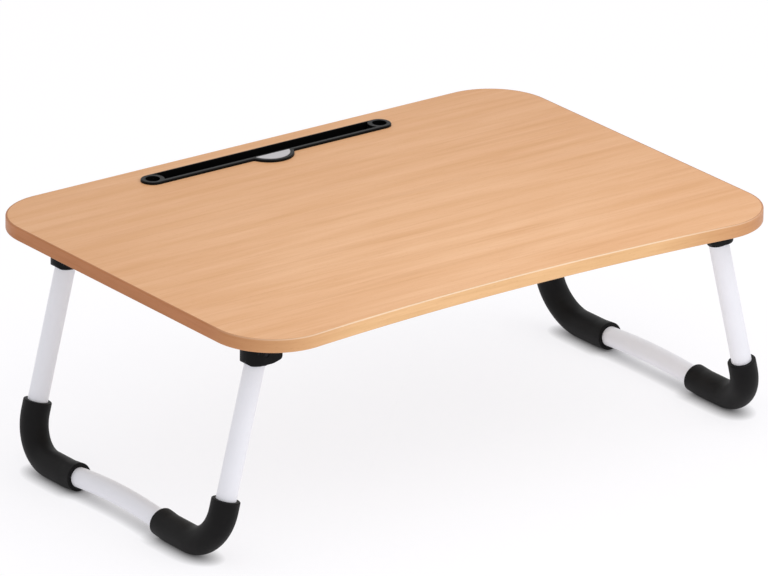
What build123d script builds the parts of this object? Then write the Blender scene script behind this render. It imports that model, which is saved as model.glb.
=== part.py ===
from build123d import *
from math import asin, cos, degrees, radians, sin
import os

# A low folding table: a laminated board on two U-shaped tube legs that fold flat under it.
# X runs along the board, Y from front to back, Z up. The origin is on the floor under the
# middle of the board, with the legs open. Sizes are in millimetres, angles in degrees.

# Board
table_height = 260.0
board_length = 700.0
board_depth = 500.0
core_thickness = 13.4
laminate_thickness = 0.8
band_thickness = 2.2
band_edge_radius = 1.6
corner_radius = 70.0
front_dip = 14.0

# Device slot insert
slot_length = 328.0
slot_width = 26.0
slot_setback = 37.0
front_rim_width = 5.0
rear_rim_width = 2.4
rim_height = 2.6
rim_edge_radius = 1.2
rim_step = 1.0
groove_depth = 9.0
groove_draft = 3.0
insert_floor = 1.4
ring_hole_diameter = 16.0
ring_boss_wall = 1.6
tab_width = 52.0
tab_reach = 18.0
tab_corner_radius = 3.0
tab_border = 4.4
tab_dish_depth = 1.0
insert_clearance = 0.15
pad_thickness = 1.4
pad_edge_radius = 0.4
pad_clearance = 0.1

# Legs: each upright bends into a level foot, from which the bar rises to its crown
splay = 14.0
pivot_inset = 48.0
front_leg_inset = 65.0
rear_leg_inset = 95.0
pivot_drop = 17.0
tube_diameter = 22.0
tube_wall = 1.2
bend_radius = 45.0
foot_length = 30.0
rise_radius = 60.0
bar_rise = 5.5
sleeve_diameter = 31.0
sleeve_clearance = 0.1
sleeve_upright_cover = 12.0
sleeve_bar_cover = 14.0
sleeve_lip_radius = 1.2

# Knuckles, which close the tube ends and turn on the hinge pins
collar_diameter = 25.0
collar_length = 13.5
tube_start = 5.2
spigot_end = 30.0
spigot_clearance = 0.05
cross_pin_diameter = 2.5
cross_pin_drop = 8.2
cross_pin_inset = 0.4
cross_pin_clearance = 0.03

# Brackets
cheek_clearance = 0.3
stop_clearance = 0.3
cheek_wall = 3.4
housing_depth = 29.5
housing_reach = 20.0
tail_start = 6.0
tail_depth = 25.4
outer_corner_radius = 6.5
tail_corner_radius = 4.0
housing_edge_radius = 2.4
flange_length = 62.0
flange_width = 56.0
flange_thickness = 3.0
flange_shift = 2.0
flange_corner_radius = 8.0
rib_thickness = 2.4
rib_reach = 8.0
rib_depth = 15.0
rib_pitch = 22.0
pin_diameter = 6.0
pin_inset = 0.4
pin_chamfer = 0.5
pin_press_clearance = 0.02
pin_running_clearance = 0.08

# Wood screws
screw_pitch_x = 49.0
screw_pitch_y = 44.0
screw_diameter = 3.5
screw_head_diameter = 7.5
screw_length = 12.0
screw_clearance = 0.05

# Heights, and the places where pieces meet
board_thickness = core_thickness + 2 * laminate_thickness
underside = table_height - board_thickness
core_bottom = underside + laminate_thickness
core_top = table_height - laminate_thickness
rim_top = table_height + rim_height
slot_y = board_depth / 2 - slot_setback
slot_front = slot_y - slot_width / 2
ring_x = slot_length / 2 - slot_width / 2
ring_hole_radius = ring_hole_diameter / 2
ring_boss_radius = ring_hole_radius + ring_boss_wall
insert_body_length = slot_length - 2 * rim_step
insert_body_width = slot_width - 2 * rim_step
insert_body_depth = groove_depth + insert_floor - laminate_thickness
groove_width = slot_width - front_rim_width - rear_rim_width
groove_y = slot_front + front_rim_width + groove_width / 2
tab_radius = ((tab_width / 2) ** 2 + tab_reach**2) / (2 * tab_reach)
tab_y = slot_front - tab_reach + tab_radius
tab_rear = slot_front + front_rim_width - rear_rim_width

pivot_x = board_length / 2 - pivot_inset
pivot_z = underside - pivot_drop
front_leg_y = front_leg_inset - board_depth / 2
rear_leg_y = board_depth / 2 - rear_leg_inset
leg_middle_y = (front_leg_y + rear_leg_y) / 2
leg_spacing = rear_leg_y - front_leg_y
tube_radius = tube_diameter / 2
sleeve_radius = sleeve_diameter / 2
lean_x = sin(radians(splay))
lean_z = cos(radians(splay))
leg_reach = (pivot_z - sleeve_radius) / lean_z
bend_start = leg_reach - bend_radius

collar_radius = collar_diameter / 2
spigot_radius = tube_radius - tube_wall - spigot_clearance
cross_pin_radius = cross_pin_diameter / 2
cross_pin_reach = collar_radius - cross_pin_inset
channel_radius = collar_radius + cheek_clearance
housing_radius = channel_radius + cheek_wall
collar_swing = collar_radius * lean_z + collar_length * lean_x
channel_shift = collar_swing + stop_clearance - channel_radius
pin_radius = pin_diameter / 2
screw_radius = screw_diameter / 2
screw_head_radius = screw_head_diameter / 2
screw_head_height = screw_head_radius - screw_radius
pilot_radius = screw_radius + screw_clearance
pilot_depth = screw_length - flange_thickness + screw_clearance

sides = {"left": -1, "right": 1}
ends = {"front": front_leg_y, "rear": rear_leg_y}
corners = [(side, y) for side in sides.values() for y in ends.values()]


def bow(half_span, rise):
    """Sum of the two radii, and the lean, of a shallow bow between two rounded corners.

    The corners' centres are two half spans apart. The bow meets each corner's arc where
    both lean by the same angle, and its crown stands by the rise inside the corners.
    """
    radius_sum = (half_span**2 + rise**2) / (2 * rise)
    return radius_sum, degrees(asin(half_span / radius_sum))


def board_face(inset, height):
    """Board outline, inset evenly: round corners and a front edge that bows inwards."""
    edge = board_length / 2 - inset
    corner = corner_radius - inset
    front_corner_y = corner_radius - board_depth / 2
    rear_corner_y = board_depth / 2 - corner_radius
    radius_sum, lean = bow(board_length / 2 - corner_radius, front_dip)
    with BuildSketch(Plane.XY.offset(height)) as face:
        with BuildLine():
            left = Line((-edge, rear_corner_y), (-edge, front_corner_y))
            front_left = JernArc(left @ 1, left % 1, corner, 90 + lean)
            front_radius = radius_sum - corner_radius + inset
            front = JernArc(front_left @ 1, front_left % 1, front_radius, -2 * lean)
            front_right = JernArc(front @ 1, front % 1, corner, 90 + lean)
            right = Line(front_right @ 1, (edge, rear_corner_y))
            rear_right = JernArc(right @ 1, right % 1, corner, 90)
            rear = Line(rear_right @ 1, (corner_radius - board_length / 2, board_depth / 2 - inset))
            JernArc(rear @ 1, rear % 1, corner, 90)
        make_face()
    return face.sketch


def insert_face(margin, height):
    """Outline of the slot insert: a long slot with a half-round tab in front of its middle."""
    with BuildSketch(Plane.XY.offset(height)) as face:
        with Locations((0, tab_y)):
            Circle(tab_radius + margin)
        with Locations((0, slot_y)):
            Rectangle(slot_length, slot_length, align=(Align.CENTER, Align.MAX), mode=Mode.INTERSECT)
            SlotOverall(slot_length + 2 * margin, slot_width + 2 * margin)
        inner_corners = face.vertices().filter_by(lambda v: abs(v.X) < tab_width)
        fillet(inner_corners, tab_corner_radius - margin)
    return face.sketch


def tab_face(inset, height):
    """Outline of the dish in the tab, inset evenly: a round front and a straight rear edge."""
    with BuildSketch(Plane.XY.offset(height)) as face:
        with Locations((0, tab_y)):
            Circle(tab_radius - tab_border - inset)
        with Locations((0, tab_rear - inset)):
            clip = (Align.CENTER, Align.MAX)
            Rectangle(tab_width, tab_width, align=clip, mode=Mode.INTERSECT)
    return face.sketch


def leg_plane(side):
    """Plane of one leg's U: x runs to the back, y up along the leg, from the hinge axis."""
    return Plane((side * pivot_x, leg_middle_y, pivot_z), (0, 1, 0), (lean_z, 0, side * lean_x))


def leg_section_plane(side, y, drop):
    """Plane across an upright, at a distance down the leg from the hinge axis, facing up it."""
    middle = (side * (pivot_x + drop * lean_x), y, pivot_z - drop * lean_z)
    return Plane(middle, (0, 1, 0), (-side * lean_x, 0, lean_z))


def pivot_plane(side, y):
    """Upright plane across the hinge axis: y runs up along the leg."""
    return Plane((side * pivot_x, y, pivot_z), (lean_z, 0, side * lean_x), (0, -1, 0))


def bracket_plane(side, y, shift=0.0, drop=0.0):
    """Plane on the board's underside at a hinge: x runs to the middle of the table, z down."""
    return Plane((side * (pivot_x - shift), y, underside - drop), (-side, 0, 0), (0, 0, -1))


def bracket_side_plane(side, y):
    """Upright plane through a bracket: x runs to the middle of the table, y down."""
    return Plane((side * pivot_x, y, underside), (-side, 0, 0), (0, -side, 0))


def cut_pilot_holes(depth):
    """Cut the bracket screws' holes from the board's underside into the part in hand."""
    for side, y in corners:
        with BuildSketch(bracket_plane(side, y, flange_shift)) as pilots:
            with GridLocations(screw_pitch_x, screw_pitch_y, 2, 2):
                Circle(pilot_radius)
        extrude(pilots.sketch, amount=-depth, mode=Mode.SUBTRACT)


def ring_circles(radius, height):
    """Two circles, one at each end of the slot."""
    with BuildSketch(Plane.XY.offset(height)) as circles:
        with Locations((-ring_x, slot_y), (ring_x, slot_y)):
            Circle(radius)
    return circles.sketch


def finish(piece, node):
    """Label a piece with its node's name and write it out."""
    piece.label = node
    export_step(piece, f"parts/{node}.step")


os.makedirs("parts", exist_ok=True)

# Board

with BuildPart() as tabletop_core:
    extrude(board_face(band_thickness, core_bottom), amount=core_thickness)
    with BuildSketch(Plane.XY.offset(core_top)):
        with Locations((0, slot_y)):
            pocket_length = insert_body_length + 2 * insert_clearance
            SlotOverall(pocket_length, insert_body_width + 2 * insert_clearance)
    extrude(amount=-insert_body_depth, mode=Mode.SUBTRACT)
    ring_holes = ring_circles(ring_boss_radius + insert_clearance, core_top)
    extrude(ring_holes, amount=-core_thickness, mode=Mode.SUBTRACT)
    cut_pilot_holes(pilot_depth)
finish(tabletop_core.part, "tabletop_core")

with BuildPart() as top_laminate:
    extrude(board_face(band_thickness, core_top), amount=laminate_thickness)
    slot_opening = insert_face(insert_clearance, core_top)
    extrude(slot_opening, amount=laminate_thickness, mode=Mode.SUBTRACT)
finish(top_laminate.part, "top_laminate")

with BuildPart() as underside_laminate:
    extrude(board_face(band_thickness, underside), amount=laminate_thickness)
    ring_holes = ring_circles(ring_boss_radius + insert_clearance, underside)
    extrude(ring_holes, amount=laminate_thickness, mode=Mode.SUBTRACT)
    cut_pilot_holes(laminate_thickness)
finish(underside_laminate.part, "underside_laminate")

with BuildPart() as edge_band:
    extrude(board_face(0, underside), amount=board_thickness)
    rounded = edge_band.edges().group_by(Axis.Z)
    fillet(rounded[0] + rounded[-1], band_edge_radius)
    extrude(board_face(band_thickness, underside), amount=board_thickness, mode=Mode.SUBTRACT)
finish(edge_band.part, "edge_band")

# Device slot insert: rim and tab on the core, trough and rings in it, and a pad in the tab

with BuildPart() as slot_insert:
    extrude(insert_face(0, core_top), amount=laminate_thickness + rim_height)
    fillet(slot_insert.edges().group_by(Axis.Z)[-1], rim_edge_radius)
    with BuildSketch(Plane.XY.offset(core_top)):
        with Locations((0, slot_y)):
            SlotOverall(insert_body_length, insert_body_width)
    extrude(amount=-insert_body_depth)
    extrude(ring_circles(ring_boss_radius, core_top), amount=underside - core_top)
    with BuildSketch(Plane.XY.offset(rim_top)):
        with Locations((0, groove_y)):
            Rectangle(2 * ring_x, groove_width)
        with Locations((-ring_x, slot_y), (ring_x, slot_y)):
            Circle(slot_width / 2, mode=Mode.SUBTRACT)
    extrude(amount=-(rim_height + groove_depth), taper=groove_draft, mode=Mode.SUBTRACT)
    ring_bores = ring_circles(ring_hole_radius, rim_top)
    extrude(ring_bores, amount=underside - rim_top, mode=Mode.SUBTRACT)
    extrude(tab_face(0, rim_top), amount=-tab_dish_depth, mode=Mode.SUBTRACT)
finish(slot_insert.part, "slot_insert")

with BuildPart() as tab_pad:
    extrude(tab_face(pad_clearance, rim_top - tab_dish_depth), amount=pad_thickness)
    fillet(tab_pad.edges().group_by(Axis.Z)[-1], pad_edge_radius)
finish(tab_pad.part, "tab_pad")

# Hinge brackets: a housing open below and inwards, ribs and a screwed flange

for side_name, side in sides.items():
    for end_name, y in ends.items():
        with BuildPart() as bracket:
            with BuildSketch(bracket_plane(side, y)):
                with Locations((-channel_shift, 0)):
                    Circle(housing_radius)
                    Rectangle(
                        housing_reach + channel_shift,
                        2 * housing_radius,
                        align=(Align.MIN, Align.CENTER),
                    )
            extrude(amount=housing_depth)
            fillet(bracket.edges().group_by(Axis.Z)[0], housing_edge_radius)
            outer_end = -channel_shift - housing_radius
            with BuildSketch(bracket_side_plane(side, y)) as profile:
                with BuildLine():
                    Polyline(
                        (outer_end, 0),
                        (outer_end, housing_depth),
                        (tail_start, housing_depth),
                        (housing_reach, tail_depth),
                        (housing_reach, 0),
                        close=True,
                    )
                make_face()
                outer_corner = profile.vertices().group_by(Axis.Y)[-1].sort_by(Axis.X)[0]
                fillet(outer_corner, outer_corner_radius)
                tail_corner = profile.vertices().group_by(Axis.X)[-1].sort_by(Axis.Y)[-1]
                fillet(tail_corner, tail_corner_radius)
            extrude(amount=housing_radius, both=True, mode=Mode.INTERSECT)
            with BuildSketch(bracket_plane(side, y, flange_shift)):
                RectangleRounded(flange_length, flange_width, flange_corner_radius)
            extrude(amount=flange_thickness)
            for rib_x in (-rib_pitch / 2, rib_pitch / 2):
                rib_root = bracket_plane(side, y, rib_x, flange_thickness).origin
                with BuildSketch(Plane(rib_root, (0, 1, 0), (1, 0, 0))):
                    with BuildLine():
                        rib_foot = housing_radius + rib_reach
                        rib_tip = flange_thickness - rib_depth
                        Polyline(
                            (-rib_foot, 0),
                            (-housing_radius, rib_tip),
                            (housing_radius, rib_tip),
                            (rib_foot, 0),
                            close=True,
                        )
                    make_face()
                extrude(amount=rib_thickness / 2, both=True)
            with BuildSketch(bracket_plane(side, y, 0, flange_thickness)):
                with Locations((-channel_shift, 0)):
                    Circle(channel_radius)
                    Rectangle(
                        flange_length,
                        2 * channel_radius,
                        align=(Align.MIN, Align.CENTER),
                    )
            extrude(amount=housing_depth, mode=Mode.SUBTRACT)
            with BuildSketch(bracket_side_plane(side, y)):
                with Locations((0, pivot_drop)):
                    Circle(pin_radius + pin_press_clearance)
            extrude(amount=housing_radius, both=True, mode=Mode.SUBTRACT)
            with Locations(bracket_plane(side, y, flange_shift, flange_thickness)):
                with GridLocations(screw_pitch_x, screw_pitch_y, 2, 2):
                    CounterSinkHole(
                        pilot_radius,
                        screw_head_radius + screw_clearance,
                        counter_sink_angle=90,
                    )
        finish(bracket.part, f"bracket_{end_name}_{side_name}")

        with BuildPart() as hinge_pin:
            with BuildSketch(bracket_side_plane(side, y)):
                with Locations((0, pivot_drop)):
                    Circle(pin_radius)
            extrude(amount=housing_radius - pin_inset, both=True)
            chamfer(hinge_pin.edges().filter_by(GeomType.CIRCLE), pin_chamfer)
        finish(hinge_pin.part, f"hinge_pin_{end_name}_{side_name}")

        with BuildPart() as knuckle:
            turning_plane = pivot_plane(side, y)
            with BuildSketch(turning_plane):
                Circle(collar_radius)
                Rectangle(collar_diameter, collar_length, align=(Align.CENTER, Align.MAX))
                half = (Align.MIN, Align.CENTER)
                Rectangle(collar_radius, 3 * collar_length, align=half, mode=Mode.INTERSECT)
            revolve(axis=Axis(turning_plane.origin, turning_plane.y_dir))
            with BuildSketch(leg_section_plane(side, y, collar_length)):
                Circle(tube_radius + spigot_clearance)
            extrude(amount=collar_length - tube_start, mode=Mode.SUBTRACT)
            with BuildSketch(leg_section_plane(side, y, spigot_end)):
                Circle(spigot_radius)
            extrude(amount=spigot_end - tube_start)
            with BuildSketch(turning_plane):
                Circle(pin_radius + pin_running_clearance)
                with Locations((0, -cross_pin_drop)):
                    Circle(cross_pin_radius + cross_pin_clearance)
            extrude(amount=collar_diameter, both=True, mode=Mode.SUBTRACT)
        finish(knuckle.part, f"knuckle_{end_name}_{side_name}")

# Tube legs, their cross pins and their sleeves

bow_sum, bow_lean = bow(leg_spacing / 2 - bend_radius - foot_length, bar_rise)
bar_radius = bow_sum - rise_radius

for side_name, side in sides.items():
    with BuildPart() as leg_tube:
        with BuildLine(leg_plane(side)) as tube_path:
            front_upright = Line((-leg_spacing / 2, -tube_start), (-leg_spacing / 2, -bend_start))
            front_bend = JernArc(front_upright @ 1, front_upright % 1, bend_radius, 90)
            front_foot = PolarLine(front_bend @ 1, foot_length, direction=front_bend % 1)
            front_rise = JernArc(front_foot @ 1, front_foot % 1, rise_radius, bow_lean)
            bar = JernArc(front_rise @ 1, front_rise % 1, bar_radius, -2 * bow_lean)
            rear_rise = JernArc(bar @ 1, bar % 1, rise_radius, bow_lean)
            rear_foot = PolarLine(rear_rise @ 1, foot_length, direction=rear_rise % 1)
            rear_bend = JernArc(rear_foot @ 1, rear_foot % 1, bend_radius, 90)
            Line(rear_bend @ 1, (leg_spacing / 2, -tube_start))
        with BuildSketch(leg_section_plane(side, front_leg_y, tube_start)):
            Circle(tube_radius)
            Circle(tube_radius - tube_wall, mode=Mode.SUBTRACT)
        sweep(path=tube_path.line)
        for y in ends.values():
            with BuildSketch(pivot_plane(side, y)):
                with Locations((0, -cross_pin_drop)):
                    Circle(cross_pin_radius + cross_pin_clearance)
            extrude(amount=collar_diameter, both=True, mode=Mode.SUBTRACT)
    finish(leg_tube.part, f"leg_tube_{side_name}")

    with BuildPart() as cross_pins:
        for y in ends.values():
            with BuildSketch(pivot_plane(side, y)):
                with Locations((0, -cross_pin_drop)):
                    Circle(cross_pin_radius)
            extrude(amount=cross_pin_reach, both=True)
    finish(cross_pins.part, f"cross_pins_{side_name}")

    for end_name, y in ends.items():
        turn = 1 if y == front_leg_y else -1
        with BuildPart() as sleeve:
            with BuildLine(leg_plane(side)) as sleeve_path:
                upright_x = -turn * leg_spacing / 2
                sleeve_start = sleeve_upright_cover - bend_start
                upright = Line((upright_x, sleeve_start), (upright_x, -bend_start))
                bend = JernArc(upright @ 1, upright % 1, bend_radius, turn * 90)
                foot = PolarLine(bend @ 1, foot_length, direction=bend % 1)
                rise = JernArc(foot @ 1, foot % 1, rise_radius, turn * bow_lean)
                bar_angle = degrees(sleeve_bar_cover / bar_radius)
                JernArc(rise @ 1, rise % 1, bar_radius, -turn * bar_angle)
            with BuildSketch(leg_section_plane(side, y, bend_start - sleeve_upright_cover)):
                Circle(sleeve_radius)
                Circle(tube_radius + sleeve_clearance, mode=Mode.SUBTRACT)
            sweep(path=sleeve_path.line)
            end_faces = sleeve.faces().filter_by(GeomType.PLANE)
            fillet([face.outer_wire().edges() for face in end_faces], sleeve_lip_radius)
        finish(sleeve.part, f"foot_sleeve_{end_name}_{side_name}")

# Wood screws that hold the brackets to the board

with BuildPart() as bracket_screws:
    for side, y in corners:
        with BuildSketch(bracket_plane(side, y, flange_shift, flange_thickness)) as shanks:
            with GridLocations(screw_pitch_x, screw_pitch_y, 2, 2):
                Circle(screw_radius)
        extrude(shanks.sketch, amount=-screw_length)
        with BuildSketch(bracket_plane(side, y, flange_shift, flange_thickness)) as heads:
            with GridLocations(screw_pitch_x, screw_pitch_y, 2, 2):
                Circle(screw_head_radius)
        extrude(heads.sketch, amount=-screw_head_height, taper=45)
finish(bracket_screws.part, "bracket_screws")
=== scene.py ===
import logging
import math
from dataclasses import dataclass
from enum import Enum
from itertools import accumulate, product
from typing import Any, Mapping, Sequence

import bmesh
import bpy
from bpy.types import GeometryNodeTree, Material, Mesh, Node, NodeSocket, NodeTree, Object, World
from mathutils import Matrix, Vector
from mathutils.geometry import tessellate_polygon


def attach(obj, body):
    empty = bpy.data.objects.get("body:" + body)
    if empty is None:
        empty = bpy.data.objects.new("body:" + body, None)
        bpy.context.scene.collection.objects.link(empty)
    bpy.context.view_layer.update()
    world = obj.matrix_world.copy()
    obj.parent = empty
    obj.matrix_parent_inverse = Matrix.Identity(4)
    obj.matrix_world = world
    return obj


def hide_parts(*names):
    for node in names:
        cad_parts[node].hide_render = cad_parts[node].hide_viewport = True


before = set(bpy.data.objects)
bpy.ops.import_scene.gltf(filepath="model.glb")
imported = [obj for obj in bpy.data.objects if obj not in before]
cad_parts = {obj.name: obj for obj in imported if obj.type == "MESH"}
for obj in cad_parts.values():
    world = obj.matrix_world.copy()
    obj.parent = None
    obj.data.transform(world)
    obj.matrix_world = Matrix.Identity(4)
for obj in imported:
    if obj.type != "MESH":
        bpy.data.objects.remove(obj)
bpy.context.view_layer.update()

# A low folding table in metres: X along the board, Y from front to back, Z up from the floor.

Pair = tuple[float, float]
Triple = tuple[float, float, float]
Outline = list[Pair]
Source = Node | NodeSocket

MM = 0.001
WELD = 0.002 * MM

# Edges that turn by more than this many degrees stay sharp: on made, copied and swept pieces
SHARP_MADE = 40.0
SHARP_COPIED = 32.0
SHARP_SWEPT = 50.0

# A Mix node's two colour inputs, which only their numbers tell apart from its other inputs
UNDER = 6
OVER = 7

log = logging.getLogger("folding_table")


class Named(Enum):
    """A choice whose name is part of the names of nodes and bodies."""

    @property
    def word(self) -> str:
        """The choice's name as the nodes and bodies spell it."""
        return self.name.lower()


class Side(Named):
    """The two legs, by the sign of the X axis that each stands on."""

    LEFT = -1
    RIGHT = 1


class End(Named):
    """The two ends of a leg, by the direction in which a path leaves them."""

    FRONT = 1
    REAR = -1


class GrainSource(Enum):
    """What a wood pattern follows: the board as a whole, or the strip along its edge."""

    BOARD = "Object"
    STRIP = "UV"


def bare_tree(owner: Material | World) -> NodeTree:
    """Empty the node tree of a material or a world.

    Args:
        owner: The material or world.

    Returns:
        Its tree.
    """
    owner.use_nodes = True
    owner.node_tree.nodes.clear()
    return owner.node_tree


def linear(code: str) -> tuple[float, float, float, float]:
    """Turn an sRGB hex value into a linear colour.

    Args:
        code: The colour as "#RRGGBB".

    Returns:
        Linear red, green and blue with an alpha of 1.
    """
    values = [int(code[i : i + 2], 16) / 255 for i in (1, 3, 5)]
    red, green, blue = (v / 12.92 if v <= 0.04045 else ((v + 0.055) / 1.055) ** 2.4 for v in values)
    return red, green, blue, 1.0


def add_node(
    tree: NodeTree, kind: str, inputs: dict[str | int, Any] | None = None, **settings: Any
) -> Node:
    """Add a node with its settings, values and links.

    Args:
        tree: The node tree that takes the node.
        kind: The node's type name.
        inputs: A value, or a node or socket to link from, for each named or numbered input. A
            node gives its first output in use.
        **settings: Attributes of the node itself.

    Returns:
        The new node.
    """
    node = tree.nodes.new(kind)
    for name, value in settings.items():
        setattr(node, name, value)
    for key, value in (inputs or {}).items():
        if isinstance(value, Node):
            value = next(output for output in value.outputs if output.enabled)
        if isinstance(value, NodeSocket):
            tree.links.new(value, node.inputs[key])
        else:
            node.inputs[key].default_value = value
    return node


@dataclass(frozen=True)
class Finish:
    """A surface finish: its material's name and the record's slot that it stands for."""

    name: str
    slot: str

    def material(self) -> Material:
        """Find the finish's material, or build it on first use.

        Returns:
            The material.
        """
        known = bpy.data.materials.get(self.name)
        if known is not None:
            return known
        material = bpy.data.materials.new(self.name)
        tree = bare_tree(material)
        shader = add_node(tree, "ShaderNodeBsdfPrincipled", self.dress(tree))
        add_node(tree, "ShaderNodeOutputMaterial", {"Surface": shader})
        return material

    def dress(self, tree: NodeTree) -> dict[str, Any]:
        """Add the finish's own nodes to its material's tree, and return the shader's inputs."""
        raise NotImplementedError


@dataclass(frozen=True)
class Layer:
    """One layer of a wood print: a noise drawn out along the grain, and where it darkens."""

    length: float
    width: float
    detail: float
    distortion: float = 0.0
    span: Pair = (0.3, 0.7)
    share: float = 1.0


@dataclass(frozen=True)
class BeechFilm(Finish):
    """Printed beech film under a satin melamine coat: pale, with long soft streaks, and painted
    shade that darkens it away from one spot.
    """

    light: str = "#F8C598"
    middle: str = "#ECB482"
    dark: str = "#CE8B52"
    roughness: float = 0.4
    roughness_spread: Pair = (-0.06, 0.08)
    specular: float = 0.18
    grain: GrainSource = GrainSource.BOARD
    # Fibres and flecks are drawn coarser than real ones so that they show
    streaks: Layer = Layer(240 * MM, 20 * MM, 4.0, 0.35)
    bands: Layer = Layer(168 * MM, 8 * MM, 2.0, 0.6, (0.5, 0.72), 0.2)
    fibres: Layer = Layer(42 * MM, 2.4 * MM, 3.0, 0.0, (0.45, 0.75), 0.1)
    flecks: Layer = Layer(6 * MM, 1.3 * MM, 1.0, 0.0, (0.63, 0.74), 0.22)
    relief: float = 0.15 * MM
    relief_strength: float = 0.12
    # Painted shade: the film darkens away from this spot, as light falls off towards the back and
    # the sides
    palest: Triple = (20 * MM, -200 * MM, 260 * MM)
    fade_reach: float = 550 * MM
    fade_share: float = 0.32

    def noise(self, tree: NodeTree, layer: Layer) -> Source:
        """Draw a layer's noise out along the grain.

        Args:
            tree: The material's node tree.
            layer: The layer.

        Returns:
            The noise's value.
        """
        place = add_node(tree, "ShaderNodeTexCoord").outputs[self.grain.value]
        scale = (1 / layer.length, 1 / layer.width, 1 / layer.width)
        drawn = add_node(tree, "ShaderNodeMapping", {"Vector": place, "Scale": scale})
        shape = {"Scale": 1.0, "Detail": layer.detail, "Distortion": layer.distortion}
        return add_node(tree, "ShaderNodeTexNoise", {"Vector": drawn, **shape})

    def overlay(
        self, tree: NodeTree, ground: Source, mask: Source, span: Pair, share: float
    ) -> Source:
        """Darken the ground where a mask is high.

        Args:
            tree: The material's node tree.
            ground: The colour so far.
            mask: The mask.
            span: The mask's values where the darkening starts and where it is full.
            share: How much of the dark colour shows where it is full.

        Returns:
            The darkened colour.
        """
        reach = {"Value": mask, "From Min": span[0], "From Max": span[1], "To Max": share}
        weight = add_node(tree, "ShaderNodeMapRange", reach)
        inks = {"Factor": weight, UNDER: ground, OVER: linear(self.dark)}
        return add_node(tree, "ShaderNodeMix", inks, data_type="RGBA")

    def print_colour(self, tree: NodeTree, fibres: Source) -> Source:
        """Lay streaks, painted shade, growth bands, fibres and ray flecks over each other.

        Args:
            tree: The material's node tree.
            fibres: The fibre noise, which the relief shares.

        Returns:
            The film's colour.
        """
        low, high = self.streaks.span
        streaks = {"Value": self.noise(tree, self.streaks), "From Min": low, "From Max": high}
        tone = add_node(tree, "ShaderNodeMapRange", streaks)
        inks = {"Factor": tone, UNDER: linear(self.light), OVER: linear(self.middle)}
        colour: Source = add_node(tree, "ShaderNodeMix", inks, data_type="RGBA")
        if self.fade_share:
            # Painted shade: the print is lightest near the middle of the front, as if lit there,
            # and is darkened away from there
            place = add_node(tree, "ShaderNodeTexCoord").outputs[self.grain.value]
            ends = {0: place, 1: self.palest}
            away = add_node(tree, "ShaderNodeVectorMath", ends, operation="DISTANCE")
            colour = self.overlay(tree, colour, away, (0.0, self.fade_reach), self.fade_share)
        bands, flecks = self.noise(tree, self.bands), self.noise(tree, self.flecks)
        for layer, mask in ((self.bands, bands), (self.fibres, fibres), (self.flecks, flecks)):
            colour = self.overlay(tree, colour, mask, layer.span, layer.share)
        return colour

    def dress(self, tree: NodeTree) -> dict[str, Any]:
        """Connect the print's colour, gloss and relief.

        Args:
            tree: The material's node tree.

        Returns:
            The shader's inputs.
        """
        fibres = self.noise(tree, self.fibres)
        smooth, rough = (self.roughness + change for change in self.roughness_spread)
        gloss = {"Value": fibres, "To Min": smooth, "To Max": rough}
        relief = {"Height": fibres, "Strength": self.relief_strength, "Distance": self.relief}
        return {
            "Base Color": self.print_colour(tree, fibres),
            "Roughness": add_node(tree, "ShaderNodeMapRange", gloss),
            "Normal": add_node(tree, "ShaderNodeBump", relief),
            "Specular IOR Level": self.specular,
        }


@dataclass(frozen=True)
class BeechStrip(BeechFilm):
    """Beech-print edge strip: painted shade swings along it, darkest on its left and right sides,
    and a painted highlight lies along its rounded top edge, fading out where that painted shade is
    strong.
    """

    grain: GrainSource = GrainSource.STRIP
    # Painted shade: a dark tint multiplied in along the strip, darkest on its left and right sides
    deep: str = "#CDA998"
    repeat: float = 1168 * MM
    deepest: float = -215 * MM
    drift: Pair = (-0.5, 0.5)
    # Painted highlight: a pale band along the middle of the rounded top edge
    arris: str = "#FBE4CD"
    arris_middle: float = 16.3 * MM
    arris_reach: float = 1.3 * MM
    arris_share: float = 0.75

    def print_colour(self, tree: NodeTree, fibres: Source) -> Source:
        """Lay painted shade that swings along the strip over the print, and a painted highlight
        along the rounded top edge over that.

        Args:
            tree: The material's node tree.
            fibres: The fibre noise, which the relief shares.

        Returns:
            The strip's colour.
        """
        printed = super().print_colour(tree, fibres)
        place = add_node(tree, "ShaderNodeTexCoord").outputs[self.grain.value]
        spot = add_node(tree, "ShaderNodeSeparateXYZ", {"Vector": place}).outputs
        # Painted shade: a cosine swing along the strip, darkest where the left and right sides are
        turn = math.tau / self.repeat
        wave = {0: spot["X"], 1: turn, 2: -turn * self.deepest}
        phase = add_node(tree, "ShaderNodeMath", wave, operation="MULTIPLY_ADD")
        swing = add_node(tree, "ShaderNodeMath", {0: phase}, operation="COSINE")
        stages = {"Value": swing, "From Min": self.drift[0], "From Max": self.drift[1]}
        drift = add_node(tree, "ShaderNodeMapRange", stages)
        shade_inks = {"Factor": drift, UNDER: printed, OVER: linear(self.deep)}
        shaded_print = add_node(tree, "ShaderNodeMix", shade_inks, data_type="RGBA", blend_type="MULTIPLY")
        # Painted highlight on the rounded top edge, faded out where the painted shade is strong
        fading = {"Value": drift, "To Min": self.arris_share, "To Max": 0.0}
        unshaded_highlight = add_node(tree, "ShaderNodeMapRange", fading)
        heights = {0: spot["Y"], 1: self.arris_middle}
        below = add_node(tree, "ShaderNodeMath", heights, operation="SUBTRACT")
        away = add_node(tree, "ShaderNodeMath", {0: below}, operation="ABSOLUTE")
        trim = {"Value": away, "From Max": self.arris_reach, "To Min": unshaded_highlight, "To Max": 0.0}
        painted_highlight = add_node(tree, "ShaderNodeMapRange", trim, interpolation_type="SMOOTHSTEP")
        inks = {"Factor": painted_highlight, UNDER: shaded_print, OVER: linear(self.arris)}
        return add_node(tree, "ShaderNodeMix", inks, data_type="RGBA")


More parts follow.
